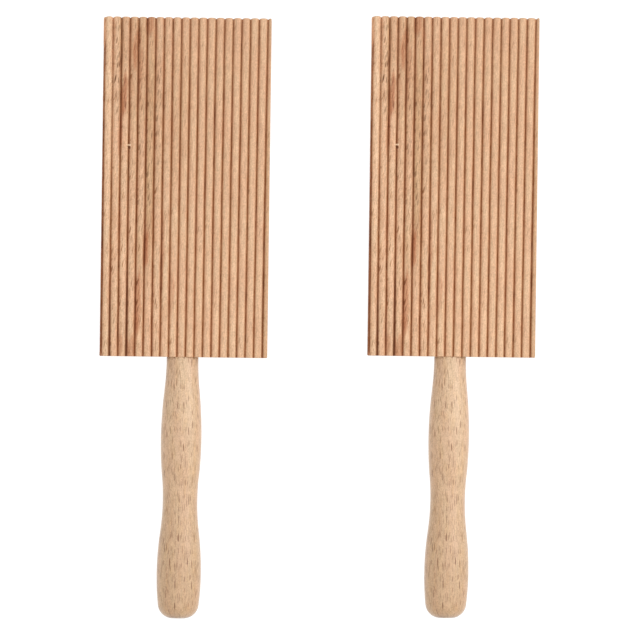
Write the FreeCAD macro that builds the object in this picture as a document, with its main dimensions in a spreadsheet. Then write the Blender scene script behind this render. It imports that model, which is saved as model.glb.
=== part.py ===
import FreeCAD, Part

import os

import Sketcher

# A pair of ribbed beech paddles, lying side by side with their ribs up. Each paddle is a board
# with half-round ribs along its face, and a turned handle whose tenon is glued into a hole that
# is drilled in the board's near end. Millimetres, +Z up, +Y from the handles towards the far
# ends of the boards. The origin is under the middle of the pair, on the table.

# The driving dimensions. Each name is the alias of a cell in the sheet.
SIZES = {
    # board
    "board_width": 60.0,
    "board_length": 121.5,
    "board_thickness": 12.0,
    "arris": 0.4,  # the chamfer that sanding leaves on the board's square edges
    # ribs: round shoulders, with a narrow flat on each crest and at the bottom of each groove
    "groove_pitch": 3.04,
    "groove_depth": 1.1,
    "groove_floor": 0.2,
    "rib_crest": 0.4,
    "first_groove": 0.8,  # from the board's left side to the middle of its first groove
    # joint between board and handle
    "tenon_diameter": 7.0,
    "tenon_length": 20.0,
    "tenon_clearance": 0.05,  # the glue's thickness round the tenon
    "glue_pocket": 1.0,  # the room left for glue past the tenon's end
    "tenon_chamfer": 0.5,
    # handle, from the board outwards
    "handle_length": 93.6,
    "neck_step": 0.35,  # from the board's face and back down to the neck's surface
    "upper_swell_at": 29.7,  # from the board, as the waist is
    "upper_swell_diameter": 14.6,
    "waist_at": 51.5,
    "waist_diameter": 12.4,
    "lower_swell_diameter": 15.9,
    "butt_length": 15.7,  # from the middle of the lower swell to the end of the handle
    "butt_diameter": 13.3,
    "butt_round": 5.4,
    "butt_flat": 0.8,  # the least radius of flat wood left in the middle of the butt
    "swell_share": 0.6,  # how much of the way to a neck or waist is still the swell's own curve
    # pair
    "paddle_gap": 35.8,  # between the two boards' facing sides
    "paddle_stagger": 1.42,  # how much further forward the right paddle lies than the left
}

DRILL_POINT_DEGREES = 118.0
CUT_MARGIN = 1.0  # how far a cutting outline stands out of the board's face
NEAR = 1e-4  # how close two positions are to count as one

# What fits or lines up with something else, worked out from the driving dimensions.
HOLE_DIAMETER = "Sizes.tenon_diameter + 2 * Sizes.tenon_clearance"
HOLE_DEPTH = "Sizes.tenon_length + Sizes.glue_pocket"
FIRST_GROOVE_X = "Sizes.first_groove - Sizes.board_width / 2"
GROOVE_HALF_WIDTH = "(Sizes.groove_pitch - Sizes.rib_crest) / 2"
GROOVE_COUNT = "floor((Sizes.board_width - Sizes.first_groove) / Sizes.groove_pitch) + 1"
NECK_DIAMETER = "(Sizes.board_thickness - 2 * Sizes.neck_step)"
BUTT_ROUND = "min(Sizes.butt_round; Sizes.butt_diameter / 2 - Sizes.butt_flat)"
PADDLE_X = "(Sizes.board_width + Sizes.paddle_gap) / 2"
BOARD_END_Y = "(Sizes.handle_length - Sizes.board_length) / 2"
HALF_STAGGER = "Sizes.paddle_stagger / 2"
AXIS_Z = "max(Sizes.board_thickness; Sizes.upper_swell_diameter; Sizes.lower_swell_diameter) / 2"


def make_sheet(doc):
    """The spreadsheet of driving dimensions, one alias to a row."""
    sheet = doc.addObject("Spreadsheet::Sheet", "Sizes")
    for row, (alias, size) in enumerate(SIZES.items(), start=1):
        sheet.set(f"A{row}", alias)
        sheet.set(f"B{row}", str(size))
        sheet.setAlias(f"B{row}", alias)
    doc.recompute()
    return sheet


def value_of(sheet, formula):
    """What a formula on the sheet's aliases comes to, in millimetres."""
    return float(sheet.evalExpression(formula))


def origin_feature(body, role):
    """One of the body's own origin planes or axes."""
    return next(item for item in body.Origin.OriginFeatures if item.Role == role)


def add_sketch(body, name, plane):
    """A new sketch on one of the body's own origin planes."""
    sketch = body.newObject("Sketcher::SketchObject", name)
    sketch.AttachmentSupport = [(origin_feature(body, plane), "")]
    sketch.MapMode = "FlatFace"
    return sketch


def arc_centre(flat, other, shared):
    """The centre of the arc through two points that has its centre level with the first.

    shared is the coordinate, 0 or 1, that the centre has in common with the flat end.
    """
    free = 1 - shared
    across = other[shared] - flat[shared]
    along = (across**2 + other[free] ** 2 - flat[free] ** 2) / (2 * (other[free] - flat[free]))
    centre = [0.0, 0.0]
    centre[shared] = flat[shared]
    centre[free] = along
    return FreeCAD.Vector(centre[0], centre[1], 0)


def add_side(sketch, start, end, bend):
    """One side of an outline. Returns its index and which of its ends is at start, 1 or 2."""
    first, last = FreeCAD.Vector(*start), FreeCAD.Vector(*end)
    if bend is None:
        return sketch.addGeometry(Part.LineSegment(first, last), False), 1
    flat_end, shared = bend
    flat, other = (start, end) if flat_end == "start" else (end, start)
    centre = arc_centre(flat, other, shared)
    towards_middle = (first + last) / 2 - centre
    middle = centre + towards_middle.normalize() * (first - centre).Length
    index = sketch.addGeometry(Part.Arc(first, middle, last), False)
    at_start = 1 if (sketch.getPoint(index, 1) - first).Length < NEAR else 2
    flat_point = at_start if flat_end == "start" else 3 - at_start
    level = "Vertical" if shared == 0 else "Horizontal"
    sketch.addConstraint(Sketcher.Constraint(level, index, 3, index, flat_point))
    return index, at_start


def place_point(sketch, side, end, formulas):
    """Ties one end of a side to the sheet, by its distances from the sketch's origin."""
    for axis, (direction, formula) in enumerate(zip(("DistanceX", "DistanceY"), formulas)):
        if formula == "0":
            through = -2 if axis == 0 else -1
            sketch.addConstraint(Sketcher.Constraint("PointOnObject", side, end, through))
            continue
        here = sketch.getPoint(side, end)[axis]
        tie = sketch.addConstraint(Sketcher.Constraint(direction, -1, 1, side, end, here))
        sketch.setExpression(f"Constraints[{tie}]", formula)


def draw_outline(sheet, sketch, corners, bends=None):
    """A closed outline through corners, each a pair of formulas.

    bends makes the side after a corner an arc: {corner's index: (flat end, shared coordinate)}.
    """
    bends = bends or {}
    points = [(value_of(sheet, x), value_of(sheet, y), 0) for x, y in corners]
    sides = []
    for number, start in enumerate(points):
        end = points[(number + 1) % len(points)]
        sides.append(add_side(sketch, start, end, bends.get(number)))
    for number, (side, at_start) in enumerate(sides):
        before, before_start = sides[number - 1]
        joined = (before, 3 - before_start, side, at_start)
        sketch.addConstraint(Sketcher.Constraint("Coincident", *joined))
        place_point(sketch, side, at_start, corners[number])


def draw_circle(sheet, sketch, centre, diameter):
    """A circle whose centre and diameter follow the sheet."""
    middle = FreeCAD.Vector(value_of(sheet, centre[0]), value_of(sheet, centre[1]), 0)
    radius = value_of(sheet, diameter) / 2
    index = sketch.addGeometry(Part.Circle(middle, FreeCAD.Vector(0, 0, 1), radius), False)
    place_point(sketch, index, 3, centre)
    size = sketch.addConstraint(Sketcher.Constraint("Diameter", index, 2 * radius))
    sketch.setExpression(f"Constraints[{size}]", diameter)


def edges_where(shape, test):
    """The names of the edges whose middle point passes test."""
    names = []
    for number, edge in enumerate(shape.Edges, start=1):
        middle = edge.valueAt((edge.FirstParameter + edge.LastParameter) / 2)
        if test(middle):
            names.append(f"Edge{number}")
    return names


def add_blank(doc, sheet, body):
    """The board before it is cut, with a sanded arris on all but its upper long edges."""
    sketch = add_sketch(body, "BlankSection", "XZ_Plane")
    left, right = "-Sizes.board_width / 2", "Sizes.board_width / 2"
    back, face = "0", "Sizes.board_thickness"
    draw_outline(sheet, sketch, [(left, back), (right, back), (right, face), (left, face)])
    blank = body.newObject("PartDesign::Pad", "Blank")
    blank.Profile = sketch
    blank.Reversed = True
    blank.setExpression("Length", "Sizes.board_length")
    doc.recompute()

    side_x, face_z = value_of(sheet, right), value_of(sheet, face)
    arrises = body.newObject("PartDesign::Chamfer", "SandedArrises")
    arrises.Base = (
        blank,
        edges_where(
            blank.Shape,
            lambda middle: abs(abs(middle.x) - side_x) > NEAR or abs(middle.z - face_z) > NEAR,
        ),
    )
    arrises.setExpression("Size", "Sizes.arris")
    doc.recompute()


def add_grooves(doc, sheet, body):
    """The grooves, cut end to end, which leave the round-shouldered ribs between them."""
    sketch = add_sketch(body, "GrooveSection", "XZ_Plane")
    face = "Sizes.board_thickness"
    floor = f"{face} - Sizes.groove_depth"
    above = f"{face} + {CUT_MARGIN}"
    outer_left, outer_right = (f"{FIRST_GROOVE_X} {sign} {GROOVE_HALF_WIDTH}" for sign in "-+")
    floor_left, floor_right = (f"{FIRST_GROOVE_X} {sign} Sizes.groove_floor / 2" for sign in "-+")
    corners = [
        (outer_left, above),
        (outer_left, face),
        (floor_left, floor),
        (floor_right, floor),
        (outer_right, face),
        (outer_right, above),
    ]
    draw_outline(sheet, sketch, corners, bends={1: ("start", 0), 3: ("end", 0)})
    groove = body.newObject("PartDesign::Pocket", "Groove")
    groove.Profile = sketch
    groove.Type = "ThroughAll"
    doc.recompute()

    grooves = body.newObject("PartDesign::LinearPattern", "Grooves")
    grooves.Originals = [groove]
    grooves.Direction = (origin_feature(body, "X_Axis"), [""])
    grooves.Mode = "Spacing"
    grooves.setExpression("Offset", "Sizes.groove_pitch")
    grooves.setExpression("Occurrences", GROOVE_COUNT)
    body.Tip = grooves
    doc.recompute()


def add_tenon_hole(doc, sheet, body):
    """The blind hole that is drilled in the middle of the near end for the handle's tenon."""
    sketch = add_sketch(body, "TenonHoleCentre", "XZ_Plane")
    draw_circle(sheet, sketch, ("0", "Sizes.board_thickness / 2"), HOLE_DIAMETER)
    hole = body.newObject("PartDesign::Hole", "TenonHole")
    hole.Profile = sketch
    doc.recompute()
    hole.DepthType = "Dimension"
    hole.DrillPoint = "Angled"
    hole.DrillPointAngle = DRILL_POINT_DEGREES
    hole.setExpression("Diameter", HOLE_DIAMETER)
    hole.setExpression("Depth", HOLE_DEPTH)
    doc.recompute()


def make_board(doc, sheet, label):
    """One ribbed board. Its own origin is in the middle of the near end, on the flat back."""
    body = doc.addObject("PartDesign::Body", label)
    body.Label = label
    add_blank(doc, sheet, body)
    for cut in (add_grooves, add_tenon_hole):
        before = body.Shape.Volume
        cut(doc, sheet, body)
        if body.Shape.Volume >= before:
            raise RuntimeError(f"{label}: {cut.__name__} cut nothing")
    return body


def turning_point(swell, narrow):
    """The point where a swell's curve turns into that of the neck or waist beside it.

    swell and narrow are pairs of formulas: how far from the board, and the diameter there.
    """
    distance, diameter = (f"({a} + Sizes.swell_share * ({b} - {a}))" for a, b in zip(swell, narrow))
    return f"{diameter} / 2", f"-{distance}"


def make_handle(doc, sheet, label):
    """One turned handle. Its own origin is in the middle of the shoulder that meets the board."""
    body = doc.addObject("PartDesign::Body", label)
    body.Label = label

    neck = ("0", NECK_DIAMETER)
    upper = ("Sizes.upper_swell_at", "Sizes.upper_swell_diameter")
    waist = ("Sizes.waist_at", "Sizes.waist_diameter")
    lower = ("(Sizes.handle_length - Sizes.butt_length)", "Sizes.lower_swell_diameter")
    tenon_corners = [
        ("0", "Sizes.tenon_length"),
        ("Sizes.tenon_diameter / 2", "Sizes.tenon_length"),
        ("Sizes.tenon_diameter / 2", "0"),
    ]
    curve_corners = [
        (f"{neck[1]} / 2", "0"),
        turning_point(upper, neck),
        (f"{upper[1]} / 2", f"-{upper[0]}"),
        turning_point(upper, waist),
        (f"{waist[1]} / 2", f"-{waist[0]}"),
        turning_point(lower, waist),
        (f"{lower[1]} / 2", f"-{lower[0]}"),
    ]
    butt_corners = [
        ("Sizes.butt_diameter / 2", "-Sizes.handle_length"),
        ("0", "-Sizes.handle_length"),
    ]
    bends = {}
    for number in range(len(curve_corners)):
        flat_end = "start" if number % 2 == 0 else "end"
        bends[len(tenon_corners) + number] = (flat_end, 1)
    sketch = add_sketch(body, "TurnedOutline", "XY_Plane")
    draw_outline(sheet, sketch, tenon_corners + curve_corners + butt_corners, bends)
    turning = body.newObject("PartDesign::Revolution", "Turning")
    turning.Profile = sketch
    turning.ReferenceAxis = (sketch, ["V_Axis"])
    turning.Angle = 360
    doc.recompute()

    butt_y = -value_of(sheet, "Sizes.handle_length")
    butt = body.newObject("PartDesign::Fillet", "RoundedButt")
    butt.Base = (turning, edges_where(turning.Shape, lambda middle: abs(middle.y - butt_y) < NEAR))
    butt.setExpression("Radius", BUTT_ROUND)
    doc.recompute()

    tip_y = value_of(sheet, "Sizes.tenon_length")
    tip = body.newObject("PartDesign::Chamfer", "TenonLeadIn")
    tip.Base = (butt, edges_where(butt.Shape, lambda middle: abs(middle.y - tip_y) < NEAR))
    tip.setExpression("Size", "Sizes.tenon_chamfer")
    doc.recompute()
    return body


def place(body, x, y, z):
    """Puts a body where three formulas on the sheet say."""
    for axis, formula in zip("xyz", (x, y, z)):
        body.setExpression(f"Placement.Base.{axis}", formula)


def make_paddle(doc, sheet, side, sign):
    """A board and the handle glued into it, level, on the handle's thickest swell.

    sign is - for the left paddle and + for the right one.
    """
    board = make_board(doc, sheet, f"{side}_board")
    handle = make_handle(doc, sheet, f"{side}_handle")
    x, y = f"{sign}{PADDLE_X}", f"{BOARD_END_Y} {sign} {HALF_STAGGER}"
    place(board, x, y, f"{AXIS_Z} - Sizes.board_thickness / 2")
    place(handle, x, y, AXIS_Z)
    return [board, handle]


def check(doc, nodes):
    """Stops the build if a feature failed or a piece is not one valid solid."""
    failed = [item.Name for item in doc.Objects if {"Invalid", "Error"} & set(item.State)]
    if failed:
        raise RuntimeError(f"these features failed: {', '.join(failed)}")
    for node in nodes:
        if node.Shape.isNull() or not node.Shape.isValid() or len(node.Shape.Solids) != 1:
            raise RuntimeError(f"{node.Label} is not one valid solid")


def export(nodes, folder="parts"):
    """Writes each piece to its own STEP file, named after its label."""
    os.makedirs(folder, exist_ok=True)
    for node in nodes:
        node.Shape.exportStep(os.path.join(folder, f"{node.Label}.step"))


def main():
    doc = FreeCAD.newDocument("Paddles")
    sheet = make_sheet(doc)
    nodes = make_paddle(doc, sheet, "left", "-") + make_paddle(doc, sheet, "right", "+")
    doc.recompute()
    check(doc, nodes)
    export(nodes)


main()
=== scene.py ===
import math
from collections import namedtuple

import bmesh
import bpy
import numpy as np
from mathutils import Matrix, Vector


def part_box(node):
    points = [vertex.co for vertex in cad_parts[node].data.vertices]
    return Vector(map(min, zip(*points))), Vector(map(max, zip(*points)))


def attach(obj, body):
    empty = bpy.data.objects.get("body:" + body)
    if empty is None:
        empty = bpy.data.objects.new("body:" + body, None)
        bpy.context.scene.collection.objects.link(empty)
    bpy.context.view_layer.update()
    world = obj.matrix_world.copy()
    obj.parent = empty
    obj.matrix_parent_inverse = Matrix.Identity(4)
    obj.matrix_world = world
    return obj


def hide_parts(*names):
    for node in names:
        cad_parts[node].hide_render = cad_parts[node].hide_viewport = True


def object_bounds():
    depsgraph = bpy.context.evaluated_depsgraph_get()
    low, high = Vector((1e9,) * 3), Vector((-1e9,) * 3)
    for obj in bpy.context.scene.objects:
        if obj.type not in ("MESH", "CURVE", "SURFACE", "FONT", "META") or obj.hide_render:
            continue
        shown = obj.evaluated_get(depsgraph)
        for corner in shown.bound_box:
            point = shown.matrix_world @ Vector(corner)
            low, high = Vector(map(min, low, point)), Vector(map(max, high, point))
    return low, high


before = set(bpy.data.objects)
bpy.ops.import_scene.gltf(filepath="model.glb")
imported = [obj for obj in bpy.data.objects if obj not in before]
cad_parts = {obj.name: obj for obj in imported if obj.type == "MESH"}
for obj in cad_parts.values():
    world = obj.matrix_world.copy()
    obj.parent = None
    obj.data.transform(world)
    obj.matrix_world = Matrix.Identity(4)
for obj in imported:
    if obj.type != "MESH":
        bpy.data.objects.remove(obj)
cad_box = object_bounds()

# The looks of a pair of ribbed beech paddles. Each CAD board is replaced by a mesh with worn
# ribs, and each CAD handle by a mesh turned to the same outline. Sizes are in metres. Every piece
# has its own origin: a board in the middle of its near end on the flat back, a handle in the
# middle of the shoulder that meets the board. +Y runs to the board's far end and +Z is up.

MM = 0.001

# ribs and grooves
GROOVES = 20
PITCH_NEAR = 3.026 * MM  # the grooves fan out a little towards the far end
PITCH_FAR = 3.065 * MM
FIRST_GROOVE_NEAR = 0.67 * MM  # from the board's left side
FIRST_GROOVE_FAR = 0.48 * MM
GROOVE_DEPTH = 1.1 * MM
GROOVE_FLOOR = 0.2 * MM
RIB_CREST = 0.4 * MM
CREST_MIDDLE = 0.8  # a crest's middle is worn down by this share of what its edges are
BOW_NEAR = 0.22 * MM  # how far the second groove lies left of even spacing; later ones less
BOW_FAR = 0.16 * MM
BOW_FADE = 4  # the power by which the bow fades towards the last groove
GROOVE_WANDER = 0.04 * MM  # to either side
GROOVE_WANDER_SPACING = 11 * MM
CREST_WANDER = 0.03 * MM  # crests are worn down by up to twice this
CREST_WANDER_SPACING = 14 * MM
SHOULDER_STEPS = 7

# the thin fin outside the first groove
INTACT_FIN = 9 * MM  # length of it that still stands at the far end
FIN_TEAR = 3 * MM  # length over which the tear runs out there
NEAR_STUB = 0.9 * MM  # length of it that still stands at the near end
NEAR_STUB_TEAR = 0.4 * MM
FIN_DROP = 0.3 * MM  # how far below the face the standing fin ends
FIN_STEPS = 5
TORN_SHARE = 0.93  # of the groove's depth is torn off, give or take the raggedness
RAGGEDNESS = 0.07
RAGGED_SPACING = 1.3 * MM
FIBRE_SPACING = 2.2 * MM  # fibres stand where a random curve from -1 to 1 is above this level
FIBRE_LEVEL = 0.82
FIBRE_SHARE = 0.5  # of the depth that is torn off elsewhere
TORN_SIDE = 0.16 * MM  # how far inside the board's side the torn edge lies
SIDE_JITTER = 0.12 * MM
SIDE_JITTER_SPACING = 1.6 * MM
FIRST_GROOVE_SHARE = 0.5  # of a full groove's depth, where the fin stands

# the board's ends and sides
ARRIS = 0.4 * MM  # radius of the rounded edges of the ends and the back
MOUTH_BREAK = 0.5 * MM  # how far the far end is broken back where a groove runs out of it
MOUTH_REACH = 1.6 * MM
UNDERCUT = 0.45 * MM  # how far the far end falls back below the ribs; no break is deeper
CORNER_BREAK = 0.45 * MM  # how far the far end's left corner is rounded off
CORNER_REACH = 0.8 * MM
END_INSET = 0.9 * MM  # the ends' flat faces start this far inside the board's outline
SIDE_TOP = 2.4 * MM  # the highest point of a plain side, below the face
SIDE_BOTTOM = 0.9 * MM  # the lowest one, above the back
SIDE_STEPS = 5
ARRIS_STEPS = 5
BACK_STEPS = 14

# the hole and the tenon in it
TENON_RADIUS = 3.5 * MM
TENON_LENGTH = 20 * MM
TENON_BEVEL = 0.5 * MM
HOLE_RADIUS = 3.55 * MM
HOLE_DEPTH = 21 * MM
DRILL_POINT = 2.1 * MM

# the splinter that stands in one groove
SPLINTER_GROOVE = 3
SPLINTER_FROM_FAR_END = 45.9 * MM
SPLINTER_LENGTH = 0.8 * MM
SPLINTER_HEIGHT = 0.9 * MM
SPLINTER_HALF_WIDTH = 0.5 * MM
SPLINTER_TOP = 0.1 * MM  # it stays this far below the face

# rings along the board
FIRST_ROW_MM = 1.0
ROW_STEP_MM = 0.9
END_ROWS = np.array([0, 0.03, 0.1, 0.2, 0.4]) * MM  # from each end
SPLINTER_ROWS = np.linspace(-1.1, 1.1, 12)  # from the splinter's middle, in its lengths
SPLINTER_CLEARING = 1.2  # even rows nearer than this, in its lengths, are left out

# handles
BUTT_LENGTH = 15.7 * MM  # from the middle of the lower swell to the end of the handle
BUTT_ROUND = 5.4 * MM  # length over which the butt is rounded
BUTT_STEPS = 14
BUTT_MIDDLE = 0.6  # radius of the butt's inner ring, as a share of its flat face's radius
HANDLE_SIDES = 128
HANDLE_STEP = 0.9 * MM
FIRST_HANDLE_STEP = 0.8 * MM
NECK_EDGE = 0.3 * MM  # the neck is drawn in over this length where it meets the board
NECK_EASE = 0.12 * MM  # how far it is drawn in
HANDLE_SHIFT = 0.3 * MM  # the handles are set this far left of the boards' middles
HANDLE_LEAN = 0.0045  # to the right for each length towards the board
HANDLE_WAVER = 0.012 * MM
HANDLE_WAVER_SPACING = 6 * MM
OUT_OF_ROUND = ((2, 0.0009, 0.6), (3, 0.0006, 2.0))  # lobes, share of the radius, turn

BOARD_SEED = 11
HANDLE_SEED = 12
SHARP_ANGLE = math.radians(38)
SMALLEST_EDGE = 0.0002 * MM
SAME_PLACE = 0.001 * MM
CLEAR_OF_SHOULDER = 0.01 * MM

# Linear colours. A tint is multiplied into the colour under it.
PALE = (0.643, 0.424, 0.265, 1)
PINK = (0.626, 0.387, 0.240, 1)
BLOTCH_TINT = (0.95, 0.90, 0.86, 1)
RED_TINT = (0.69, 0.45, 0.34, 1)
TAN_TINT = (0.84, 0.81, 0.72, 1)
HEART_TINT = (0.985, 0.965, 0.955, 1)
# painted shade towards the board's far end
FAR_SHADE_TINT = (0.925, 0.90, 0.885, 1)
RIGHT_TINT = (0.985, 0.97, 0.955, 1)
PALE_TINT = (1.13, 1.18, 1.22, 1)
FLECK_TINT = (0.48, 0.35, 0.24, 1)
BOLD_FLECK_TINT = (0.36, 0.27, 0.19, 1)
# painted shade down the rib flanks
FLANK_SHADE_TINT = (0.99, 0.965, 0.935, 1)
# the grooves' darkening: partly machining burn, partly painted shade
GROOVE_BURN_AND_SHADE_TINT = (0.585, 0.33, 0.155, 1)
HEART_GROOVE_TINT = (0.84, 0.74, 0.64, 1)
PACKED_TINT = (0.68, 0.58, 0.50, 1)
# painted shade, and darker grooves, in patches
SHADE_AND_DARK_TINT = (0.52, 0.40, 0.33, 1)
# the splinter's painted highlight and painted shade
SHINE_TINT = (1.25, 1.45, 1.60, 1)
SHADE_TINT = (0.40, 0.28, 0.20, 1)
END_TINT = (0.80, 0.74, 0.68, 1)
# the handle's end grain, made darker to paint shade round the butt
BUTT_END_GRAIN_AND_SHADE_TINT = (0.67, 0.61, 0.57, 1)
HANDLE_PALE = (0.590, 0.402, 0.246, 1)
HANDLE_PINK = (0.583, 0.378, 0.233, 1)
YELLOW_TINT = (0.985, 0.965, 0.90, 1)
DASH_TINT = (0.34, 0.205, 0.105, 1)
# painted shade towards the handle's butt
BUTT_SHADE_TINT = (0.85, 0.81, 0.755, 1)
TABLE_GREY = (0.2, 0.2, 0.2, 1)
WHITE = (1, 1, 1, 1)

# Noise in the wood: how many features fill a metre across and along the grain, the range of the
# noise that counts, and the strengths that the two ends of that range are turned into.
Noise = namedtuple("Noise", "cells low high start end detail roughness",
                   defaults=(0.0, 1.0, 2, 0.5))
BOARD_DRIFT = Noise((420, 55), 0.36, 0.64, detail=3)
BOARD_BLOTCHES = Noise((1000, 150), 0.42, 0.66)
BOARD_GRAIN = Noise((2900, 200), 0.30, 0.70, 0.88, 1.09, detail=3, roughness=0.6)
BOARD_SPECKLE = Noise((3400, 1700), 0.28, 0.72, 0.87, 1.11, detail=1)
STREAKS = Noise((2000, 70), 0.30, 0.62, 1.0, 0.7)
FLECK_ZONES = Noise((300, 60), 0.38, 0.62, 0.35, 1.0)
# the grooves' darkening, partly machining burn and partly painted shade
GROOVE_BURN_AND_SHADE = Noise((300, 260), 0.30, 0.70, 0.78, 1.0, detail=3)
PACKED_FIBRES = Noise((500, 110), 0.60, 0.70)
END_PORES = Noise((5200, 60), 0.35, 0.65, 0.78, 1.0)
END_RINGS = Noise((420, 10), 0.35, 0.65, detail=3)
HANDLE_DRIFT = Noise((260, 45), 0.36, 0.64, detail=3)
HANDLE_BLOTCHES = Noise((700, 160), 0.45, 0.68)
HANDLE_GRAIN = Noise((2300, 260), 0.30, 0.70, 0.89, 1.09, detail=3, roughness=0.6)
HANDLE_SPECKLE = Noise((2700, 1500), 0.28, 0.72, 0.88, 1.08)
DASH_ZONES = Noise((330, 60), 0.38, 0.60, 0.80, 1.0)
# dark specks with painted shade on the neck, under the board's edge
NECK_SPECKS_AND_SHADE = Noise((1500, 700), 0.50, 0.62)
SLOW_WARP_CELLS = (140, 28)
QUICK_WARP_CELLS = (1500, 130)
FIBRE_CELLS = (6000, 350)

# Dashes in the wood: how many cells fill a metre across and along the grain, a dash's radius in
# cells, and the share of the cells that hold one.
Dashes = namedtuple("Dashes", "cells radius share")
FLECKS = Dashes((1400, 150), 0.25, 0.62)
FINE_FLECKS = Dashes((2500, 400), 0.28, 0.60)
BOLD_FLECKS = Dashes((1150, 210), 0.32, 0.90)
LONG_DASHES = Dashes((1250, 125), 0.225, 0.36)
SHORT_DASHES = Dashes((2100, 205), 0.25, 0.62)
DOTS = Dashes((2300, 1100), 0.30, 0.50)
DASH_CORE = 0.6  # share of a dash's radius that is at full strength
FAINTEST_DASH = 0.35
FINE_FLECK_STRENGTH = 0.6
SHORT_DASH_STRENGTH = 0.9
DOT_STRENGTH = 0.4
FLECK_LEAN = 0.14  # across for each length along
FLECK_DEPTH_LEAN = 0.9  # across for each length of height
HANDLE_ROLL = 7.0 * MM  # a handle's mean radius, which unrolls its surface

# Ramps, each from its first number to its second. A third and a fourth number are what those
# are turned into, instead of 0 and 1.
RIBS_INTO_HEART = (1.4, 2.2)
RIBS_OUT_OF_HEART = (7.6, 6.4)
FAR_SHADE_RAMP = (5.0, 120.0)  # the ramps over across and along are in millimetres
RIGHT_RAMP = (20.0, 30.0)
BLOTCH_RAMP = (20.0, 40.0, 1.0, 0.5)
FLECK_RAMP = (16.0, 36.0, 1.0, 0.5)
# the grooves' burn and painted shade, weaker towards the far end and in the second groove
BURN_AND_SHADE_RAMP = (70.0, 122.0, 1.0, 0.77)
FAINT_GROOVE_RAMP = (0.0, 1.0, 1.0, 0.50)
GROOVE_FLECK_RAMP = (0.3, 0.9, 1.0, 0.3)  # the groove attribute is 0 on a crest and 1 at a floor
FLANK_SHADE_RAMP = (0.02, 0.40)
DEEP_RAMP = (0.12, 0.92)
END_RAMP = (0.72, 0.985)  # how squarely the surface faces along the grain
GLOSS_RAMP = (0.9, 1.08)
BOARD_GLOSS = (0.62, 0.50)  # the roughness at the two ends of GLOSS_RAMP
HANDLE_GLOSS = (0.50, 0.40)
BUTT_SHADE_RAMP = (-0.002, -0.098)  # metres from the shoulder
NECK_SPECKS_AND_SHADE_RAMP = (-0.0012, -0.0003, 0.0, 0.6)  # metres from the shoulder
PATCH_EDGE = (1.0, 0.25)  # squares of the distance from a patch's middle to its edge

# The grain's sideways wander, in millimetres, as it shifts the patches below.
SLOW_WARP = 1.2
QUICK_WARP = 1.8
DEPTH_WARP = 0.3  # for each millimetre below the face

# the board's size as the patches count it
BOARD_HALF_WIDTH_MM = 30.0
BOARD_THICKNESS_MM = 12.0

BUMP_STRENGTH = 0.25
BUMP_DISTANCE = 0.06 * MM
FIBRE_BUMP = 0.6
GRAIN_BUMP = 0.5

# Patches of the board that differ from the wood round them. Each has its middle (across from the
# left side, along from the near end), half its size, the lean of its long axis and its strength.
# Millimetres. The red ones are where the heartwood shows through.
RED_PATCHES = [
    ((16.3, 119.5), (1.6, 6.0), 0.06, 0.90),
    ((11.8, 110.0), (1.6, 9.5), 0.08, 0.85),
    ((13.2, 100.0), (0.9, 14.0), 0.03, 0.60),
    ((7.6, 93.5), (1.2, 10.0), 0.05, 1.00),
    ((6.5, 80.0), (0.9, 10.0), 0.04, 0.70),
    ((16.0, 38.0), (1.2, 9.0), 0.03, 1.00),
    ((13.6, 19.0), (1.3, 15.0), 0.04, 0.90),
    ((11.2, 3.0), (1.6, 6.0), 0.06, 0.80),
    ((7.4, 4.0), (0.9, 5.0), 0.03, 0.50),
    ((21.9, 30.0), (0.9, 12.0), 0.03, 0.60),
    ((25.6, 22.0), (1.2, 9.0), 0.03, 0.45),
    ((22.2, 44.0), (0.9, 7.0), 0.03, 0.40),
]
TAN_PATCHES = [
    ((6.2, 106.0), (1.3, 42.0), 0.0, 0.60),
    ((8.3, 112.0), (1.9, 26.0), 0.0, 0.20),
    ((11.4, 104.0), (1.9, 40.0), 0.0, 0.45),
    ((14.4, 108.0), (1.9, 34.0), 0.0, 0.60),
    ((14.4, 38.0), (1.7, 12.0), 0.0, 0.50),
    ((17.4, 76.0), (1.9, 56.0), 0.0, 1.00),
    ((20.6, 84.0), (1.6, 28.0), 0.0, 0.25),
    ((27.0, 86.0), (6.5, 32.0), 0.0, 0.25),
    ((9.5, 4.0), (3.6, 10.0), 0.0, 0.20),
    ((59.4, 20.0), (1.3, 75.0), 0.0, 0.60),
]
PALE_PATCHES = [
    ((2.1, 96.0), (2.8, 60.0), 0.0, 1.00),
    ((7.6, 55.0), (3.0, 40.0), 0.0, 0.50),
    ((4.8, 98.0), (3.0, 44.0), 0.0, 1.00),
]
# where the bold flecks are
FLECKED_PATCHES = [
    ((5.3, 103.0), (1.5, 26.0), 0.0, 1.00),
    ((14.2, 97.0), (1.6, 16.0), 0.0, 0.70),
    ((17.0, 72.0), (1.8, 34.0), 0.0, 0.75),
    ((13.8, 62.0), (1.6, 26.0), 0.0, 0.60),
    ((20.2, 84.0), (1.6, 34.0), 0.0, 0.60),
    ((8.0, 92.0), (1.5, 12.0), 0.0, 0.50),
    ((10.5, 52.0), (4.5, 22.0), 0.0, 0.25),
]
# painted shade along the torn side and on some rib flanks, and grooves that are darker than the
# others
SHADE_AND_DARK_PATCHES = [
    ((0.7, 107.5), (0.4, 7.5), 0.0, 0.60),
    ((6.9, 113.0), (0.6, 9.0), 0.0, 0.40),
    ((6.0, 98.0), (0.7, 15.0), 0.0, 0.30),
    ((0.0, 25.0), (1.1, 110.0), 0.0, 0.85),
    ((3.45, 3.0), (0.7, 26.0), 0.0, 0.70),
    ((9.6, 8.0), (0.7, 32.0), 0.0, 0.70),
    ((58.2, 12.0), (0.6, 55.0), 0.0, 0.25),
]
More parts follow.
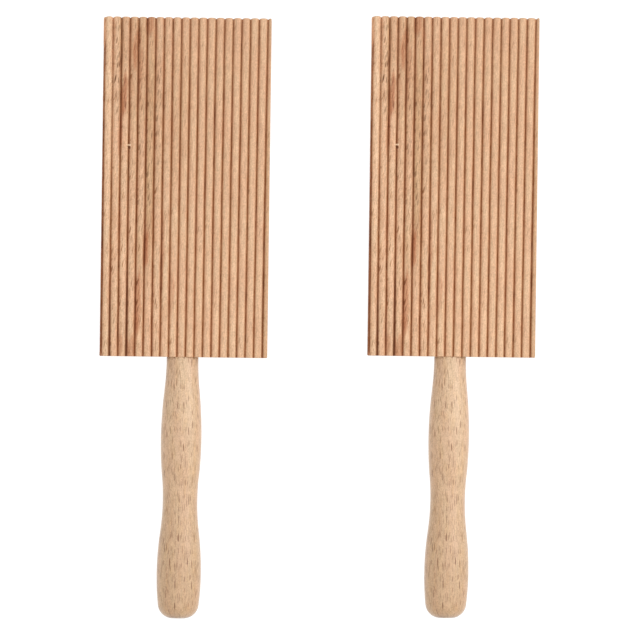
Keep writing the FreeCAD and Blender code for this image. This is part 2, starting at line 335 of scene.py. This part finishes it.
# Three more, without a strength: where the second groove's burn and painted shade are fainter
# than in the others, and the splinter's painted highlight on its top and painted shade at its foot.
FAINT_GROOVE_PATCH = ((3.9, 105.0), (2.2, 50.0), 0.0)
SPLINTER_SHINE = ((9.75, 75.65), (0.60, 0.55), 0.0)
SPLINTER_SHADE = ((9.75, 74.65), (0.60, 0.65), 0.0)


def wander(rng, positions, spacing, amount):
    """A smooth random curve over positions, turning about once every spacing."""
    knots = np.arange(positions.min() - 2 * spacing, positions.max() + 3 * spacing, spacing)
    values = rng.uniform(-amount, amount, len(knots))
    place = (positions - knots[0]) / spacing
    index = place.astype(int)
    share = place - index
    share = share * share * (3 - 2 * share)
    return values[index] * (1 - share) + values[index + 1] * share


def skin(name, rings, tip_first, tip_last, values):
    """A closed mesh through rings of points, pointed at both ends.

    rings has the shape (rings, points, 3). Looking along +Y, a ring's points run clockwise, so
    that the faces point outward. values are {attribute's name: (rings, points)}.
    """
    count, size = rings.shape[:2]
    points = np.concatenate([rings.reshape(-1, 3), [tip_first, tip_last]])
    around = np.arange(size)
    after = np.roll(around, -1)
    quads = []
    for row in range(count - 1):
        here, there = row * size, (row + 1) * size
        quads.append(np.stack([here + around, here + after, there + after, there + around], axis=1))
    faces = np.concatenate(quads).tolist()
    last = (count - 1) * size
    first_tip, last_tip = count * size, count * size + 1
    faces += np.stack([after, around, np.full(size, first_tip)], axis=1).tolist()
    faces += np.stack([last + around, last + after, np.full(size, last_tip)], axis=1).tolist()
    mesh = bpy.data.meshes.new(name)
    mesh.from_pydata(points.tolist(), [], faces)
    for attribute_name, numbers in values.items():
        attribute = mesh.attributes.new(attribute_name, "FLOAT", "POINT")
        tips = [numbers[0].mean(), numbers[-1].mean()]
        numbers = np.concatenate([numbers.ravel(), tips])
        attribute.data.foreach_set("value", numbers.astype(np.float32))
    merge_tiny_edges(mesh)
    mesh.shade_smooth()
    mesh.set_sharp_from_angle(angle=SHARP_ANGLE)
    piece = bpy.data.objects.new(name, mesh)
    bpy.context.collection.objects.link(piece)
    return piece


def merge_tiny_edges(mesh):
    """Removes edges and faces that have shrunk to nothing."""
    work = bmesh.new()
    work.from_mesh(mesh)
    bmesh.ops.dissolve_degenerate(work, dist=SMALLEST_EDGE, edges=work.edges)
    work.to_mesh(mesh)
    work.free()


def shoulder():
    """Offsets from a groove's middle and depths below the crest, up one shoulder of a rib."""
    across = (PITCH_NEAR - RIB_CREST - GROOVE_FLOOR) / 2
    radius = (across**2 + GROOVE_DEPTH**2) / (2 * GROOVE_DEPTH)
    steepest = math.asin(min(across / radius, 1))
    angles = np.linspace(steepest, 0, SHOULDER_STEPS)
    offsets = GROOVE_FLOOR / 2 + across - radius * np.sin(angles)
    return offsets, radius * (1 - np.cos(angles))


def worn(depth, drop):
    """Depths up a shoulder whose crest is worn down by drop."""
    return GROOVE_DEPTH - (GROOVE_DEPTH - depth) * (1 - drop / GROOVE_DEPTH)


class Board:
    """The shape of one ribbed board, from its CAD box."""

    def __init__(self, node):
        low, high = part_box(node)
        self.width, self.length, self.thick = high - low
        self.origin = Vector(((low.x + high.x) / 2, low.y, low.z))
        self.rng = np.random.default_rng(BOARD_SEED)
        self.rows = self.row_positions()
        self.offsets, self.depths = shoulder()
        self.groove_x = self.groove_positions()
        self.crest_drop = np.stack([self.crest_wear() for _ in range(GROOVES + 1)])
        self.torn = self.torn_share()
        self.fin_drop = self.fin_depths()
        self.side_jitter = wander(self.rng, self.rows, SIDE_JITTER_SPACING, SIDE_JITTER)

    def row_positions(self):
        """How far each ring lies from the near end: close together at the ends and splinter."""
        body = np.arange(FIRST_ROW_MM, self.length / MM - ROW_STEP_MM, ROW_STEP_MM) * MM
        splinter = self.length - SPLINTER_FROM_FAR_END
        clear = abs(body - splinter) > SPLINTER_CLEARING * SPLINTER_LENGTH
        near_splinter = splinter + SPLINTER_ROWS * SPLINTER_LENGTH
        rows = [END_ROWS, body[clear], near_splinter, self.length - END_ROWS]
        return np.sort(np.concatenate(rows))

    def groove_positions(self):
        """X of every groove's middle at every row, with the shape (grooves, rows)."""
        share = self.rows / self.length
        pitch = PITCH_NEAR + (PITCH_FAR - PITCH_NEAR) * share
        first = FIRST_GROOVE_NEAR + (FIRST_GROOVE_FAR - FIRST_GROOVE_NEAR) * share
        bow = BOW_NEAR + (BOW_FAR - BOW_NEAR) * share
        middles = []
        for number in range(GROOVES):
            drift = wander(self.rng, self.rows, GROOVE_WANDER_SPACING, GROOVE_WANDER)
            bowed = 1 - (number / (GROOVES - 1)) ** BOW_FADE if number else 0
            middles.append(first + number * pitch - bow * bowed + drift - self.width / 2)
        return np.stack(middles)

    def crest_wear(self):
        """How far one rib's crest is worn down, at every row."""
        return wander(self.rng, self.rows, CREST_WANDER_SPACING, CREST_WANDER) + CREST_WANDER

    def torn_share(self):
        """1 at the rows where the fin has torn off, 0 where it stands."""
        from_far_end = self.length - self.rows
        torn = np.clip((from_far_end - INTACT_FIN) / FIN_TEAR, 0, 1)
        return torn * np.clip((self.rows - NEAR_STUB) / NEAR_STUB_TEAR, 0, 1)

    def fin_depths(self):
        """How far below the face the fin ends, at every row."""
        ragged = wander(self.rng, self.rows, RAGGED_SPACING, GROOVE_DEPTH * RAGGEDNESS)
        ragged = GROOVE_DEPTH * TORN_SHARE + ragged
        fibres = wander(self.rng, self.rows, FIBRE_SPACING, 1) > FIBRE_LEVEL
        ragged = np.where(fibres, ragged * FIBRE_SHARE, ragged)
        return self.torn * ragged + (1 - self.torn) * FIN_DROP

    def groove_depth(self, number, row):
        """How deep one groove's left half is. The first is shallow where its fin stands."""
        if number:
            return GROOVE_DEPTH
        return GROOVE_DEPTH * (FIRST_GROOVE_SHARE + (1 - FIRST_GROOVE_SHARE) * self.torn[row])

    def fin(self, row):
        """X, depth below the face and rib 0, from the left side to the first groove's floor."""
        left = -self.width / 2
        if self.fin_drop[row] > GROOVE_DEPTH / 2:
            left += TORN_SIDE + self.side_jitter[row]
        first = self.groove_x[0, row]
        x = np.linspace(left, first - GROOVE_FLOOR, FIN_STEPS)
        slope = np.interp(first - x, self.offsets, self.depths)
        depth = np.maximum(self.fin_drop[row], np.minimum(slope, self.groove_depth(0, row)))
        return x, depth, np.zeros(FIN_STEPS)

    def whole_rib(self, number, row):
        """The same for a rib, from the groove on its left to the next groove."""
        left, right = self.groove_x[number - 1, row], self.groove_x[number, row]
        drop = self.crest_drop[number, row]
        slope = worn(self.depths, drop)
        rising = np.minimum(slope, self.groove_depth(number - 1, row))
        middle = [(left + right) / 2]
        x = np.concatenate([left + self.offsets, middle, right - self.offsets[::-1]])
        depth = np.concatenate([rising, [drop * CREST_MIDDLE], slope[::-1]])
        return x, depth, np.full(len(x), float(number))

    def last_rib(self, row):
        """The same for the last rib, which the board's right side cuts off."""
        left = self.groove_x[-1, row]
        steps = np.linspace(self.offsets[0], self.width / 2 - left, SHOULDER_STEPS)
        slope = np.interp(steps, self.offsets, self.depths)
        depth = worn(slope, self.crest_drop[GROOVES, row])
        return left + steps, depth, np.full(SHOULDER_STEPS, float(GROOVES))

    def inset(self, y):
        """How far the edges are rounded in, close to an end."""
        from_end = min(y, self.length - y)
        if from_end >= ARRIS:
            return 0.0
        return ARRIS * (1 - math.sqrt(1 - (1 - from_end / ARRIS) ** 2))

    def with_splinter(self, x, depth, row):
        """The depths with the splinter standing up out of its groove."""
        from_middle = self.rows[row] - (self.length - SPLINTER_FROM_FAR_END)
        if abs(from_middle) >= SPLINTER_LENGTH / 2:
            return depth
        near = abs(x - self.groove_x[SPLINTER_GROOVE, row]) < SPLINTER_HALF_WIDTH
        bump = SPLINTER_HEIGHT * math.cos(math.pi * from_middle / SPLINTER_LENGTH)
        return np.where(near, np.maximum(depth - bump, SPLINTER_TOP), depth)

    def sides_and_back(self, y, half, inset):
        """The plain part of a ring: down the right side, along the back, up the left side."""
        heights = np.linspace(self.thick - SIDE_TOP, SIDE_BOTTOM, SIDE_STEPS)
        turn = np.linspace(0, math.pi / 2, ARRIS_STEPS)
        corner_x = half - ARRIS + ARRIS * np.cos(turn)
        corner_z = inset + ARRIS - ARRIS * np.sin(turn)
        back_x = np.linspace(half, -half, BACK_STEPS)[1:-1]
        side_x = np.full(SIDE_STEPS, half)
        back_z = np.full(len(back_x), inset)
        x = np.concatenate([side_x, corner_x, back_x, -corner_x[::-1], -side_x])
        z = np.concatenate([heights, corner_z, back_z, corner_z[::-1], heights[::-1]])
        return np.stack([x, np.full(len(x), y), z], axis=1)

    def ring(self, row):
        """One ring round the board, from the left of the face, and its groove and rib values."""
        y = self.rows[row]
        inset = self.inset(y)
        half = self.width / 2 - inset
        ribs = [self.whole_rib(number, row) for number in range(1, GROOVES)]
        parts = [self.fin(row)] + ribs + [self.last_rib(row)]
        x, depth, rib = (np.concatenate(column) for column in zip(*parts))
        x = np.clip(x, -half, half)
        depth = self.with_splinter(x, depth, row)
        groove = np.clip(depth / GROOVE_DEPTH, 0, 1)
        depth = np.maximum(depth, inset)

        near_mouth = max(0, 1 - (self.length - y) / MOUTH_REACH)
        in_corner = np.clip(1 - (x + self.width / 2) / CORNER_REACH, 0, 1) ** 2
        broken = np.minimum(MOUTH_BREAK * groove + CORNER_BREAK * in_corner, UNDERCUT)
        face = np.stack([x, y - near_mouth * broken, self.thick - depth], axis=1)
        rest = self.sides_and_back(y - near_mouth * UNDERCUT, half, inset)
        zeros = np.zeros(len(rest))
        points = np.concatenate([face, rest])
        return points, np.concatenate([groove, zeros]), np.concatenate([rib, zeros])

    def end_ring(self, model, y):
        """A plain rectangle on an end, with as many points as the ring it closes."""
        half = self.width / 2 - END_INSET
        x = np.clip(model[:, 0], -half, half)
        z = np.clip(model[:, 2], END_INSET, self.thick - END_INSET - GROOVE_DEPTH)
        return np.stack([x, np.full(len(x), y), z], axis=1)

    def hole_ring(self, model, y):
        """A circle of the handle's hole, with as many points as the end it is drilled in."""
        middle = self.thick / 2
        angles = np.arctan2(model[:, 2] - middle, model[:, 0])
        x = HOLE_RADIUS * np.cos(angles)
        z = middle + HOLE_RADIUS * np.sin(angles)
        return np.stack([x, np.full(len(x), y), z], axis=1)

    def build(self, name):
        """The board's mesh: from the bottom of its hole, round the near end, to the far end."""
        rows = [self.ring(row) for row in range(len(self.rows))]
        rings, grooves, ribs = (list(column) for column in zip(*rows))
        near = self.end_ring(rings[0], 0)
        far = self.end_ring(rings[-1], self.length - UNDERCUT)
        before = [self.hole_ring(near, HOLE_DEPTH), self.hole_ring(near, 0), near]
        plain = np.zeros(len(near))
        plain_before = [plain] * len(before)
        values = {
            "groove": np.array(plain_before + grooves + [plain]),
            "rib": np.array(plain_before + ribs + [plain]),
        }
        drill_tip = (0, HOLE_DEPTH + DRILL_POINT, self.thick / 2)
        far_middle = (0, self.length - UNDERCUT, self.thick / 2)
        piece = skin(name, np.array(before + rings + [far]), drill_tip, far_middle, values)
        piece.location = self.origin
        return piece


def cad_outline(node, axis):
    """The CAD handle's outline, butt first: places along from the shoulder, and radii."""
    points = np.array([vertex.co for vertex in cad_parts[node].data.vertices])
    along = points[:, 1] - axis.y
    radii = np.hypot(points[:, 0] - axis.x, points[:, 2] - axis.z)
    outside = along < -CLEAR_OF_SHOULDER
    order = np.argsort(along[outside])
    along, radii = along[outside][order], radii[outside][order]
    butt = along[0]
    flat = along < butt + SAME_PLACE
    along = np.concatenate([[butt], along[~flat]])
    radii = np.concatenate([[radii[flat].max()], radii[~flat]])
    return along, radii


def build_handle(name, node):
    """A handle turned to the CAD handle's outline, with the slight wander of a hand-held tool."""
    low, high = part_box(node)
    axis = Vector(((low.x + high.x) / 2, high.y - TENON_LENGTH, (low.z + high.z) / 2))
    outline_y, outline_r = cad_outline(node, axis)
    butt = outline_y[0]
    quarter = np.linspace(0, math.pi / 2, BUTT_STEPS)
    rounding = butt + BUTT_ROUND * (1 - np.cos(quarter))
    body = np.arange(rounding[-1] + FIRST_HANDLE_STEP, -NECK_EDGE, HANDLE_STEP)
    rows = np.concatenate([rounding, body, [-NECK_EDGE, 0]])
    radii = np.interp(rows, outline_y, outline_r)
    radii[-1] = radii[-2] - NECK_EASE
    rng = np.random.default_rng(HANDLE_SEED)
    waver = wander(rng, rows, HANDLE_WAVER_SPACING, HANDLE_WAVER)
    angles = np.linspace(0, 2 * math.pi, HANDLE_SIDES, endpoint=False)
    oval = 1 + sum(share * np.cos(lobes * angles + turn) for lobes, share, turn in OUT_OF_ROUND)

    def ring(y, radius, x):
        """A ring at y round the point at x, of one radius or of one for each angle."""
        rim_x = x + radius * np.sin(angles)
        return np.stack([rim_x, np.full(HANDLE_SIDES, y), radius * np.cos(angles)], axis=1)

    def middle(y):
        return HANDLE_LEAN * y - HANDLE_SHIFT

    rings = [ring(butt, outline_r[0] * BUTT_MIDDLE, middle(butt))]
    for y, radius, more in zip(rows, radii, waver):
        rings.append(ring(y, radius * oval + more, middle(y)))
    rings.append(ring(0, TENON_RADIUS, 0))
    rings.append(ring(TENON_LENGTH - TENON_BEVEL, TENON_RADIUS, 0))
    rings.append(ring(TENON_LENGTH, TENON_RADIUS - TENON_BEVEL, 0))
    piece = skin(name, np.array(rings), (middle(butt), butt, 0), (0, TENON_LENGTH, 0), {})
    piece.location = axis
    return piece


class Shader:
    """A material being made. Most calls add nodes and give back their output."""

    def __init__(self, name):
        self.material = bpy.data.materials.new(name)
        self.material.use_nodes = True
        self.tree = self.material.node_tree
        self.surface = self.tree.nodes["Principled BSDF"]

    def add(self, kind, inputs, output=0, **settings):
        node = self.tree.nodes.new(kind)
        for setting, value in settings.items():
            setattr(node, setting, value)
        for socket, value in inputs.items():
            self.feed(node.inputs[socket], value)
        return node.outputs[output]

    def feed(self, socket, value):
        """Links the socket to a node's output, or sets it to a constant."""
        if isinstance(value, bpy.types.NodeSocket):
            self.tree.links.new(value, socket)
        else:
            socket.default_value = value

    def set(self, constants):
        """Sets the surface's own sockets to constants."""
        for name, value in constants.items():
            self.surface.inputs[name].default_value = value

    def math(self, operation, a, b=0.0):
        return self.add("ShaderNodeMath", {0: a, 1: b}, operation=operation)

    def plus(self, a, b):
        return self.math("ADD", a, b)

    def minus(self, a, b):
        return self.math("SUBTRACT", a, b)

    def times(self, a, b):
        return self.math("MULTIPLY", a, b)

    def larger(self, a, b):
        return self.math("MAXIMUM", a, b)

    def ramp(self, value, low, high, start=0.0, end=1.0):
        """value turned smoothly from start at low to end at high."""
        inputs = {"Value": value, "From Min": low, "From Max": high, "To Min": start, "To Max": end}
        return self.add("ShaderNodeMapRange", inputs, interpolation_type="SMOOTHSTEP")

    def mix(self, factor, a, b, blend="MIX"):
        node = self.tree.nodes.new("ShaderNodeMix")
        node.data_type = "RGBA"
        node.blend_type = blend
        for socket, value in ((0, factor), (6, a), (7, b)):
            self.feed(node.inputs[socket], value)
        return node.outputs[2]

    def tint(self, colour, factor, tint):
        """The colour with factor of a tint multiplied into it."""
        return self.mix(factor, colour, tint, "MULTIPLY")

    def shade(self, colour, strength):
        """The colour multiplied by one strength."""
        return self.tint(colour, 1.0, self.join(strength, strength, strength))

    def place(self):
        """The point's place in the piece's own frame."""
        return self.add("ShaderNodeTexCoord", {}, output="Object")

    def split(self, vector):
        node = self.tree.nodes.new("ShaderNodeSeparateXYZ")
        self.feed(node.inputs[0], vector)
        return node.outputs[0], node.outputs[1], node.outputs[2]

    def join(self, x, y, z):
        return self.add("ShaderNodeCombineXYZ", {0: x, 1: y, 2: z})

    def noise(self, place, cells, detail=2, roughness=0.5):
        """Noise drawn out along the grain, with so many features to a metre across and along."""
        across, along = cells
        inputs = {0: place, 1: (across, along, across)}
        stretched = self.add("ShaderNodeVectorMath", inputs, operation="MULTIPLY")
        inputs = {"Vector": stretched, "Scale": 1.0, "Detail": detail, "Roughness": roughness}
        return self.add("ShaderNodeTexNoise", inputs, output="Fac")

    def ramped_noise(self, place, kind):
        noise = self.noise(place, kind.cells, kind.detail, kind.roughness)
        return self.ramp(noise, kind.low, kind.high, kind.start, kind.end)

    def dashes(self, across, along, kind):
        """Short dashes along the grain: up to 1 inside a dash, on the plane of across and along."""
        node = self.tree.nodes.new("ShaderNodeTexVoronoi")
        node.voronoi_dimensions = "2D"
        cell_across = self.times(across, kind.cells[0])
        cell_along = self.times(along, kind.cells[1])
        self.feed(node.inputs["Vector"], self.join(cell_across, cell_along, 0.0))
        node.inputs["Scale"].default_value = 1.0
        spot = self.ramp(node.outputs["Distance"], kind.radius, kind.radius * DASH_CORE)
        first_chance, second_chance, _ = self.split(node.outputs["Color"])
        chosen = self.math("GREATER_THAN", first_chance, 1 - kind.share)
        strength = self.ramp(second_chance, 0.0, 1.0, FAINTEST_DASH, 1.0)
        return self.times(self.times(spot, chosen), strength)

    def attribute(self, name):
        return self.add("ShaderNodeAttribute", {}, output="Fac", attribute_name=name)

    def patch(self, across, along, middle, size, lean):
        """1 in the middle of a leaning oval patch of the board, 0 outside it."""
        from_x, from_y = middle
        half_width, half_length = size
        dy = self.minus(along, from_y)
        dx = self.minus(self.minus(across, from_x), self.times(dy, lean))
        dx = self.math("DIVIDE", dx, half_width)
        dy = self.math("DIVIDE", dy, half_length)
        squares = self.plus(self.times(dx, dx), self.times(dy, dy))
        return self.ramp(squares, *PATCH_EDGE)

    def strongest_patch(self, across, along, patches):
        """The strongest of several patches at each point."""
        strongest = 0.0
        for middle, size, lean, strength in patches:
            one = self.times(self.patch(across, along, middle, size, lean), strength)
            strongest = self.larger(one, strongest)
        return strongest


def base_wood(shader, place, across, along, heart):
    """The board's wood without streaks: pale tan with pinker drifts, and painted shade that darkens
    it towards the far end. Gives its grain as well.
    """
    colour = shader.mix(shader.ramped_noise(place, BOARD_DRIFT), PALE, PINK)
    blotches = shader.ramped_noise(place, BOARD_BLOTCHES)
    blotches = shader.times(blotches, shader.ramp(across, *BLOTCH_RAMP))
    colour = shader.tint(colour, blotches, BLOTCH_TINT)
    grain = shader.ramped_noise(place, BOARD_GRAIN)
    colour = shader.shade(colour, grain)
    colour = shader.shade(colour, shader.ramped_noise(place, BOARD_SPECKLE))
    colour = shader.tint(colour, heart, HEART_TINT)
    # Painted shade: the board darker towards its far end.
    colour = shader.tint(colour, shader.ramp(along, *FAR_SHADE_RAMP), FAR_SHADE_TINT)
    colour = shader.tint(colour, shader.ramp(across, *RIGHT_RAMP), RIGHT_TINT)
    return colour, grain


def warp(shader, place, across, depth):
    """Across with the grain's wander, so that the patches' edges follow the grain."""
    slow = shader.minus(shader.noise(place, SLOW_WARP_CELLS), 0.5)
    quick = shader.minus(shader.noise(place, QUICK_WARP_CELLS), 0.5)
    shift = shader.plus(shader.times(slow, SLOW_WARP), shader.times(quick, QUICK_WARP))
    shift = shader.plus(shift, shader.times(depth, DEPTH_WARP))
    return shader.plus(across, shift)


def flecked(shader, colour, place, across, along, groove):
    """The colour with dark flecks that lean like a slash on the face.

    Height counts as a share of across, so that they also show on the sides.
    """
    x, y, z = shader.split(place)
    leant = shader.minus(x, shader.times(y, FLECK_LEAN))
    leant = shader.minus(leant, shader.times(z, FLECK_DEPTH_LEAN))
    flecks = shader.dashes(leant, y, FLECKS)
    flecks = shader.times(flecks, shader.ramped_noise(place, FLECK_ZONES))
    fine = shader.times(shader.dashes(leant, y, FINE_FLECKS), FINE_FLECK_STRENGTH)
    flecks = shader.larger(flecks, fine)
    flecks = shader.times(flecks, shader.ramp(across, *FLECK_RAMP))
    flecks = shader.times(flecks, shader.ramp(groove, *GROOVE_FLECK_RAMP))
    colour = shader.tint(colour, flecks, FLECK_TINT)
    bold = shader.dashes(leant, y, BOLD_FLECKS)
    bold = shader.times(bold, shader.strongest_patch(across, along, FLECKED_PATCHES))
    return shader.tint(colour, bold, BOLD_FLECK_TINT)


def with_grooves(shader, colour, place, across, along, groove, heart):
    """The colour with the grooves darkened, partly by machining burn and partly by painted shade,
    and with fibres packed into their floors.
    """
    # Painted shade down each flank, growing as it falls towards the groove.
    colour = shader.tint(colour, shader.ramp(groove, *FLANK_SHADE_RAMP), FLANK_SHADE_TINT)
    # Groove darkening, partly machining burn and partly painted shade, in patches along the
    # grooves.
    burn_and_shade = shader.ramped_noise(place, GROOVE_BURN_AND_SHADE)
    burn_and_shade = shader.times(burn_and_shade, shader.ramp(along, *BURN_AND_SHADE_RAMP))
    faint_groove = shader.patch(across, along, *FAINT_GROOVE_PATCH)
    burn_and_shade = shader.times(burn_and_shade, shader.ramp(faint_groove, *FAINT_GROOVE_RAMP))
    # deep: the grooves' burn and painted shade, strongest at their floors.
    deep = shader.times(shader.ramp(groove, *DEEP_RAMP), burn_and_shade)
    colour = shader.tint(colour, deep, GROOVE_BURN_AND_SHADE_TINT)
    colour = shader.tint(colour, shader.times(heart, deep), HEART_GROOVE_TINT)
    packed = shader.times(shader.ramped_noise(place, PACKED_FIBRES), deep)
    return shader.tint(colour, packed, PACKED_TINT)


def beech_board():
    """Beech in long grain: pale tan with pinker drifts, red heartwood streaks and dark flecks."""
    shader = Shader("ribbed_beech_looks")
    place = shader.place()
    x, y, z = shader.split(place)
    across = shader.plus(shader.times(x, 1 / MM), BOARD_HALF_WIDTH_MM)
    along = shader.times(y, 1 / MM)
    depth = shader.minus(BOARD_THICKNESS_MM, shader.times(z, 1 / MM))
    warped = warp(shader, place, across, depth)
    groove = shader.attribute("groove")
    rib = shader.attribute("rib")
    heart = shader.times(shader.ramp(rib, *RIBS_INTO_HEART), shader.ramp(rib, *RIBS_OUT_OF_HEART))

    colour, grain = base_wood(shader, place, across, along, heart)
    streaks = shader.ramped_noise(place, STREAKS)
    layers = ((PALE_PATCHES, PALE_TINT), (TAN_PATCHES, TAN_TINT), (RED_PATCHES, RED_TINT))
    for patches, tint in layers:
        strongest = shader.strongest_patch(warped, along, patches)
        colour = shader.tint(colour, shader.times(strongest, streaks), tint)
    colour = flecked(shader, colour, place, across, along, groove)
    colour = with_grooves(shader, colour, place, across, along, groove, heart)
    # Painted shade along the torn side and on some rib flanks, and some darker grooves.
    for middle, size, lean, strength in SHADE_AND_DARK_PATCHES:
        dark = shader.times(shader.patch(across, along, middle, size, lean), strength)
        colour = shader.tint(colour, dark, SHADE_AND_DARK_TINT)
    # The splinter's painted highlight on its top and painted shade at its foot.
    for oval, tint in ((SPLINTER_SHINE, SHINE_TINT), (SPLINTER_SHADE, SHADE_TINT)):
        colour = shader.tint(colour, shader.patch(across, along, *oval), tint)

    finish_wood(shader, place, colour, grain, END_TINT, BOARD_GLOSS)
    shader.set({"Specular IOR Level": 0.25})
    return shader.material


def beech_handle():
    """Paler beech, turned and sanded: short brown dashes all round, and faint drifts of colour.
    Painted shade darkens it towards the butt, round the butt's end and at the shoulder.
    """
    shader = Shader("turned_beech_looks")
    place = shader.place()
    x, y, z = shader.split(place)
    colour = shader.mix(shader.ramped_noise(place, HANDLE_DRIFT), HANDLE_PALE, HANDLE_PINK)
    colour = shader.tint(colour, shader.ramped_noise(place, HANDLE_BLOTCHES), YELLOW_TINT)
    grain = shader.ramped_noise(place, HANDLE_GRAIN)
    colour = shader.shade(colour, grain)
    # Painted shade: the handle darker towards its butt.
    colour = shader.tint(colour, shader.ramp(y, *BUTT_SHADE_RAMP), BUTT_SHADE_TINT)
    colour = shader.shade(colour, shader.ramped_noise(place, HANDLE_SPECKLE))

    around = shader.times(shader.math("ARCTAN2", x, z), HANDLE_ROLL)
    dashes = shader.dashes(around, y, SHORT_DASHES)
    dashes = shader.times(dashes, shader.ramped_noise(place, DASH_ZONES))
    dashes = shader.times(dashes, SHORT_DASH_STRENGTH)
    dashes = shader.larger(shader.dashes(around, y, LONG_DASHES), dashes)
    dots = shader.times(shader.dashes(around, y, DOTS), DOT_STRENGTH)
    colour = shader.tint(colour, shader.larger(dashes, dots), DASH_TINT)
    # Dark specks and painted shade on the neck, just under the board's edge.
    neck_specks_and_shade = shader.times(shader.ramped_noise(place, NECK_SPECKS_AND_SHADE), shader.ramp(y, *NECK_SPECKS_AND_SHADE_RAMP))
    colour = shader.tint(colour, neck_specks_and_shade, DASH_TINT)

    finish_wood(shader, place, colour, grain, BUTT_END_GRAIN_AND_SHADE_TINT, HANDLE_GLOSS)
    shader.set({"Specular IOR Level": 0.6, "Sheen Weight": 0.5, "Sheen Roughness": 0.3})
    return shader.material


def finish_wood(shader, place, colour, grain, end_grain_and_shade_tint, gloss):
    """Ends a wood: darker, pored end grain where the surface faces along it, bump and gloss. On the
    handle the end grain's tint is stronger and also paints shade round the butt.
    """
    normal = shader.split(shader.add("ShaderNodeNewGeometry", {}, output="Normal"))
    facing = shader.ramp(shader.math("ABSOLUTE", normal[1]), *END_RAMP)
    # End grain; with the handle's tint this also paints shade round the butt.
    ends = shader.tint(colour, shader.ramped_noise(place, END_RINGS), end_grain_and_shade_tint)
    ends = shader.shade(ends, shader.ramped_noise(place, END_PORES))
    shader.feed(shader.surface.inputs["Base Color"], shader.mix(facing, colour, ends))

    fibres = shader.times(shader.noise(place, FIBRE_CELLS, detail=3), FIBRE_BUMP)
    height = shader.plus(fibres, shader.times(grain, GRAIN_BUMP))
    inputs = {"Strength": BUMP_STRENGTH, "Distance": BUMP_DISTANCE, "Height": height}
    bump = shader.add("ShaderNodeBump", inputs, output="Normal")
    shader.feed(shader.surface.inputs["Normal"], bump)
    shader.feed(shader.surface.inputs["Roughness"], shader.ramp(grain, *GLOSS_RAMP, *gloss))


def make_paddle(side, board_wood, handle_wood):
    """One paddle. Both are cut from the same pattern, down to its small faults."""
    body = f"{side}_paddle"
    board = Board(f"{side}_board").build(f"{side}_board_worn")
    handle = build_handle(f"{side}_handle_turned", f"{side}_handle")
    for piece, node, slot, wood in (
        (board, f"{side}_board", "ribbed_beech", board_wood),
        (handle, f"{side}_handle", "turned_beech", handle_wood),
    ):
        piece.data.materials.append(wood)
        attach(piece, body)
        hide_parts(node)


def make_floor():
    """The table. It passes under each handle's swell and each board's far lower edge."""
    handle_low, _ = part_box("left_handle")
    board_low, board_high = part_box("left_board")
    swell_y = handle_low.y + BUTT_LENGTH
    rise = (board_low.z - handle_low.z) / (board_high.y - swell_y)
    clearance = 0.05 * MM
    reach = 3.0
    corners = []
    for x, y in ((-reach, -reach), (reach, -reach), (reach, reach), (-reach, reach)):
        corners.append((x, y, (y - swell_y) * rise - clearance))
    mesh = bpy.data.meshes.new("table")
    mesh.from_pydata(corners, [], [(0, 1, 2, 3)])
    floor = bpy.data.objects.new("table", mesh)
    bpy.context.collection.objects.link(floor)
    shader = Shader("pale_table")
    shader.set({"Base Color": TABLE_GREY, "Roughness": 0.9, "Specular IOR Level": 0.1})
    shader.set({"Emission Color": WHITE, "Emission Strength": 0.93})
    mesh.materials.append(shader.material)


def add_light(name, place, size, power):
    """A square light that shines on the middle of the pair."""
    light = bpy.data.lights.new(name, "AREA")
    light.shape = "RECTANGLE"
    light.size = size
    light.size_y = size
    light.energy = power
    lamp = bpy.data.objects.new(name, light)
    lamp.location = place
    lamp.rotation_euler = (-Vector(place)).to_track_quat("-Z", "Y").to_euler()
    bpy.context.collection.objects.link(lamp)


def make_lights():
    """Soft daylight all round, and one large soft light to the right and one above."""
    world = bpy.data.worlds.new("studio")
    world.use_nodes = True
    world.node_tree.nodes["Background"].inputs["Color"].default_value = WHITE
    world.node_tree.nodes["Background"].inputs["Strength"].default_value = 0.89
    bpy.context.scene.world = world
    add_light("key", place=(0.9, 0.25, 0.75), size=0.7, power=5.8)
    add_light("top", place=(0.1, 0.1, 1.6), size=1.2, power=6)


def make_camera():
    """A camera straight above the pair, turned slightly, as the paddles lean in the picture."""
    low, high = cad_box
    picture_width = 228.8 * MM
    picture_level = high.z - 2 * MM
    off_middle = Vector((0.82 * MM, -0.74 * MM, 0))
    roll = math.radians(0.77)
    distance = 3600 * MM
    camera = bpy.data.cameras.new("camera")
    camera.sensor_width = 36
    camera.lens = camera.sensor_width * distance / picture_width
    camera.clip_end = 20
    viewer = bpy.data.objects.new("camera", camera)
    viewer.location = (low + high) / 2 + off_middle
    viewer.location.z = picture_level + distance
    viewer.rotation_euler = (0, 0, roll)
    bpy.context.collection.objects.link(viewer)
    bpy.context.scene.camera = viewer


board_wood = beech_board()
handle_wood = beech_handle()
for side in ("left", "right"):
    make_paddle(side, board_wood, handle_wood)
make_floor()
make_lights()
make_camera()
bpy.context.scene.view_settings.view_transform = "Standard"

bpy.context.view_layer.update()
